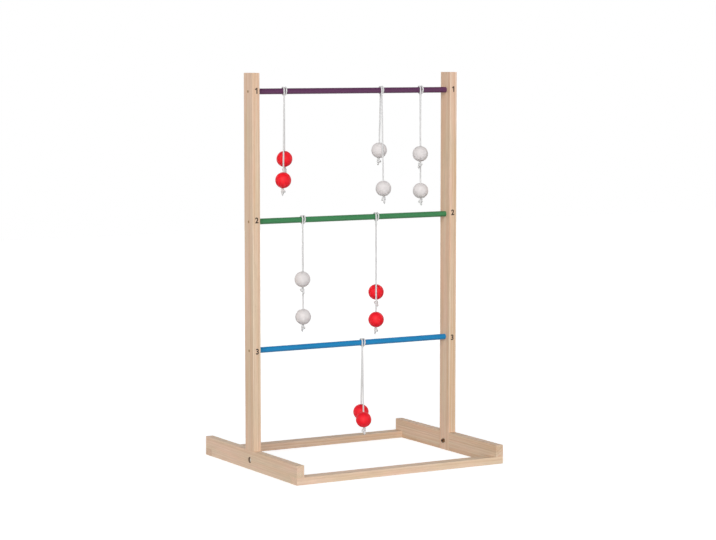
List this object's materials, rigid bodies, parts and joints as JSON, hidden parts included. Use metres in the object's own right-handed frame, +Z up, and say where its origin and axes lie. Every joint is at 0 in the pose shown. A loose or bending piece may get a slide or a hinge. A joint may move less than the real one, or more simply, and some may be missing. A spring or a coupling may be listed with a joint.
{
  "type": "ladder toss game",
  "caption": "Wooden ladder on cross-braced feet, with coloured round rungs and balls in pairs on short cords wound over the rungs.",
  "frame": {"origin": "on the floor, midway between the two feet and between their front and back ends", "axes": "+Z up, -Y towards the front crossbar, +X to the right seen from the front"},
  "size_m": [0.61, 0.507, 1.014],
  "materials": {
    "wood": "planed pale pine, thinly lacquered",
    "rung_blue": "satin blue paint on wood",
    "rung_green": "satin green paint on wood",
    "rung_purple": "satin purple paint on wood",
    "steel": "zinc-plated steel",
    "nut": "dark zinc-plated steel",
    "cord": "white braided cord",
    "ball_red": "satin red plastic",
    "ball_white": "satin white plastic"
  },
  "bodies": {
    "ladder": {"left_upright": "wood", "right_upright": "wood", "left_foot": "wood", "right_foot": "wood", "front_crossbar": "wood", "back_crossbar": "wood", "bottom_rung": "rung_blue", "middle_rung": "rung_green", "top_rung": "rung_purple", "rung_screws": "steel", "crossbar_screws": "steel", "foot_bolts": "steel", "foot_washers": "steel", "foot_nuts": "nut"},
    "bola_1": {"wrap_1": "cord"},
    "bola_1_front": {"front_cord_1": "cord", "front_ball_1": "ball_red"},
    "bola_1_back": {"back_cord_1": "cord", "back_ball_1": "ball_red"},
    "bola_2": {"wrap_2": "cord"},
    "bola_2_front": {"front_cord_2": "cord", "front_ball_2": "ball_white"},
    "bola_2_back": {"back_cord_2": "cord", "back_ball_2": "ball_white"},
    "bola_3": {"wrap_3": "cord"},
    "bola_3_front": {"front_cord_3": "cord", "front_ball_3": "ball_white"},
    "bola_3_back": {"back_cord_3": "cord", "back_ball_3": "ball_white"},
    "bola_4": {"wrap_4": "cord"},
    "bola_4_front": {"front_cord_4": "cord", "front_ball_4": "ball_white"},
    "bola_4_back": {"back_cord_4": "cord", "back_ball_4": "ball_white"},
    "bola_5": {"wrap_5": "cord"},
    "bola_5_front": {"front_cord_5": "cord", "front_ball_5": "ball_red"},
    "bola_5_back": {"back_cord_5": "cord", "back_ball_5": "ball_red"},
    "bola_6": {"wrap_6": "cord"},
    "bola_6_front": {"front_cord_6": "cord", "front_ball_6": "ball_red"},
    "bola_6_back": {"back_cord_6": "cord", "back_ball_6": "ball_red"}
  },
  "joints": [
    {"name": "bola_1_slide", "type": "slide", "parent": "ladder", "child": "bola_1", "axis": [1, 0, 0], "range_m": [-0.05, 0.235]},
    {"name": "bola_1_front_swing", "type": "hinge", "parent": "bola_1", "child": "bola_1_front", "pos_m": [-0.2065, -0.0098, 0.9607], "axis": [1, 0, 0], "range_deg": [-80, 0]},
    {"name": "bola_1_back_swing", "type": "hinge", "parent": "bola_1", "child": "bola_1_back", "pos_m": [-0.1963, 0.0098, 0.9607], "axis": [1, 0, 0], "range_deg": [0, 80]},
    {"name": "bola_2_slide", "type": "slide", "parent": "ladder", "child": "bola_2", "axis": [1, 0, 0], "range_m": [-0.235, 0.068]},
    {"name": "bola_2_front_swing", "type": "hinge", "parent": "bola_2", "child": "bola_2_front", "pos_m": [0.082, -0.0098, 0.9607], "axis": [1, 0, 0], "range_deg": [-80, 0]},
    {"name": "bola_2_back_swing", "type": "hinge", "parent": "bola_2", "child": "bola_2_back", "pos_m": [0.0895, 0.0098, 0.9607], "axis": [1, 0, 0], "range_deg": [0, 80]},
    {"name": "bola_3_slide", "type": "slide", "parent": "ladder", "child": "bola_3", "axis": [1, 0, 0], "range_m": [-0.068, 0.046]},
    {"name": "bola_3_front_swing", "type": "hinge", "parent": "bola_3", "child": "bola_3_front", "pos_m": [0.2007, -0.0098, 0.9607], "axis": [1, 0, 0], "range_deg": [-80, 0]},
    {"name": "bola_3_back_swing", "type": "hinge", "parent": "bola_3", "child": "bola_3_back", "pos_m": [0.2118, 0.0098, 0.9607], "axis": [1, 0, 0], "range_deg": [0, 80]},
    {"name": "bola_4_slide", "type": "slide", "parent": "ladder", "child": "bola_4", "axis": [1, 0, 0], "range_m": [-0.104, 0.162]},
    {"name": "bola_4_front_swing", "type": "hinge", "parent": "bola_4", "child": "bola_4_front", "pos_m": [-0.1538, -0.0098, 0.6307], "axis": [1, 0, 0], "range_deg": [-80, 0]},
    {"name": "bola_4_back_swing", "type": "hinge", "parent": "bola_4", "child": "bola_4_back", "pos_m": [-0.14315, 0.0098, 0.6307], "axis": [1, 0, 0], "range_deg": [0, 80]},
    {"name": "bola_5_slide", "type": "slide", "parent": "ladder", "child": "bola_5", "axis": [1, 0, 0], "range_m": [-0.162, 0.182]},
    {"name": "bola_5_front_swing", "type": "hinge", "parent": "bola_5", "child": "bola_5_front", "pos_m": [0.0653, -0.0098, 0.6307], "axis": [1, 0, 0], "range_deg": [-80, 0]},
    {"name": "bola_5_back_swing", "type": "hinge", "parent": "bola_5", "child": "bola_5_back", "pos_m": [0.0761, 0.0098, 0.6307], "axis": [1, 0, 0], "range_deg": [0, 80]},
    {"name": "bola_6_slide", "type": "slide", "parent": "ladder", "child": "bola_6", "axis": [1, 0, 0], "range_m": [-0.281, 0.224]},
    {"name": "bola_6_front_swing", "type": "hinge", "parent": "bola_6", "child": "bola_6_front", "pos_m": [0.0236, -0.0098, 0.3007], "axis": [1, 0, 0], "range_deg": [-80, 0]},
    {"name": "bola_6_back_swing", "type": "hinge", "parent": "bola_6", "child": "bola_6_back", "pos_m": [0.03485, 0.0098, 0.3007], "axis": [1, 0, 0], "range_deg": [0, 80]}
  ]
}
